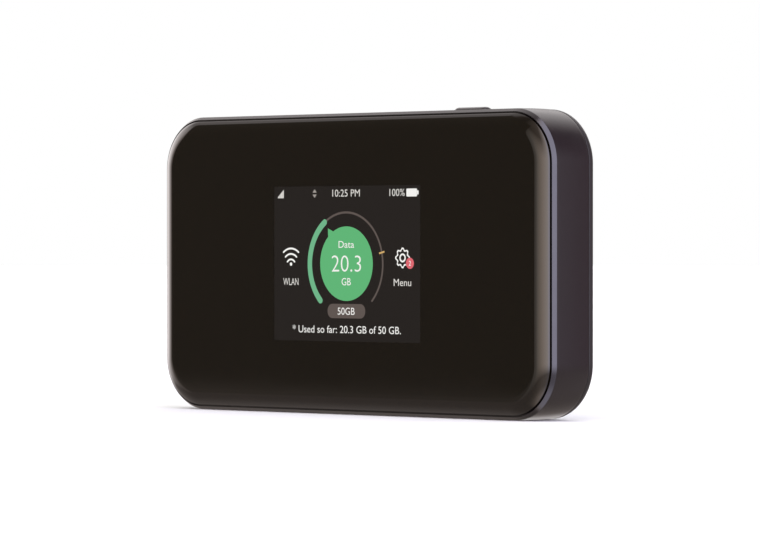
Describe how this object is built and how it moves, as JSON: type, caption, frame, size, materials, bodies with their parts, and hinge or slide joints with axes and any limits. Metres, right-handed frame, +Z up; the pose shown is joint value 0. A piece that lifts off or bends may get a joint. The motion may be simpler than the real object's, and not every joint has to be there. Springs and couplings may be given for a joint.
{
  "type": "mobile hotspot",
  "caption": "Slim pocket router with a curved-edge black front lens, a small central colour display, a bevelled frame, a top power button and a removable battery.",
  "frame": {"origin": "bottom centre of the box round the standing device, on the surface it stands on", "axes": "+X to the device's right seen from the front, the front lens faces -Y, +Z up the face"},
  "size_m": [0.1302, 0.016, 0.072],
  "materials": {
    "lens_black": "polished, printed black behind",
    "adhesive": "matt foam adhesive",
    "sensor_glass": "polished",
    "display_glass": "polished",
    "white_plastic": "moulded",
    "steel_sheet": "rolled",
    "flex_circuit": "amber polyimide",
    "black_plastic": "moulded",
    "frame_plastic": "satin, fine spark texture",
    "circuit_board": "solder mask",
    "chip_epoxy": "moulded epoxy",
    "ferrite": "sintered",
    "tinned_steel": "tinned",
    "silicone_pad": "soft pad",
    "graphite_sheet": "graphite",
    "plated_steel": "nickel plated",
    "card_plastic": "printed card",
    "gold_contact": "gold flash",
    "button_plastic": "satin",
    "chassis_plastic": "moulded, fine texture",
    "screw_steel": "black zinc",
    "battery_wrap": "printed film wrap",
    "cover_plastic": "soft-touch matt"
  },
  "bodies": {
    "housing": {"antenna_clips": "gold_contact", "battery_connector": "black_plastic", "board_screws": "screw_steel", "cellular_antenna_left": "flex_circuit", "cellular_antenna_right": "flex_circuit", "chassis_screws": "screw_steel", "contact_springs": "gold_contact", "cover_lens": "lens_black", "display_backlight": "white_plastic", "display_backplate": "steel_sheet", "display_connector": "black_plastic", "display_flex": "flex_circuit", "display_panel": "display_glass", "heat_spreader": "graphite_sheet", "inner_chassis": "chassis_plastic", "lens_adhesive": "adhesive", "main_board": "circuit_board", "memory_chip": "chip_epoxy", "mid_frame": "frame_plastic", "modem_chip": "chip_epoxy", "modem_shield": "tinned_steel", "power_chip": "chip_epoxy", "power_inductors": "ferrite", "power_shield": "tinned_steel", "reset_switch": "plated_steel", "rf_chips": "chip_epoxy", "rf_shield": "tinned_steel", "sim_socket": "plated_steel", "switch_body": "plated_steel", "thermal_pad": "silicone_pad", "touch_sensor": "sensor_glass", "usb_c_shell": "plated_steel", "usb_c_tongue": "black_plastic", "wifi_antenna_bottom": "flex_circuit", "wifi_antenna_top": "flex_circuit", "wifi_chip": "chip_epoxy", "wifi_shield": "tinned_steel"},
    "button": {"power_button": "button_plastic"},
    "button_switch": {"switch_plunger": "white_plastic"},
    "reset_button": {"reset_plunger": "white_plastic"},
    "sim": {"sim_card": "card_plastic"},
    "battery": {"battery_pack": "battery_wrap", "battery_terminals": "gold_contact"},
    "cover": {"battery_cover": "cover_plastic"}
  },
  "joints": [
    {"name": "power_button_press", "type": "slide", "parent": "housing", "child": "button", "axis": [0, 0, -1], "range_m": [0, 0.0003], "stiffness_N_per_m": 800, "springref_m": -0.0004},
    {"name": "button_switch_press", "type": "slide", "parent": "housing", "child": "button_switch", "axis": [0, 0, -1], "range_m": [0, 0.0003]},
    {"name": "reset_press", "type": "slide", "parent": "housing", "child": "reset_button", "axis": [0, -1, 0], "range_m": [0, 0.00025], "stiffness_N_per_m": 800, "springref_m": -0.0004},
    {"name": "sim_slide", "type": "slide", "parent": "housing", "child": "sim", "axis": [1, 0, 0], "range_m": [0, 0.0105]},
    {"name": "cover_lift_off", "type": "slide", "parent": "housing", "child": "cover", "axis": [0, 1, 0], "range_m": [0, 0.06]},
    {"name": "battery_lift_out", "type": "slide", "parent": "housing", "child": "battery", "axis": [0, 1, 0], "range_m": [0, 0.03]}
  ],
  "couplings": [
    {"joint": "button_switch_press", "follows": "power_button_press", "ratio": 1},
    {"joint": "battery_lift_out", "follows": "cover_lift_off", "ratio": 0.5}
  ]
}
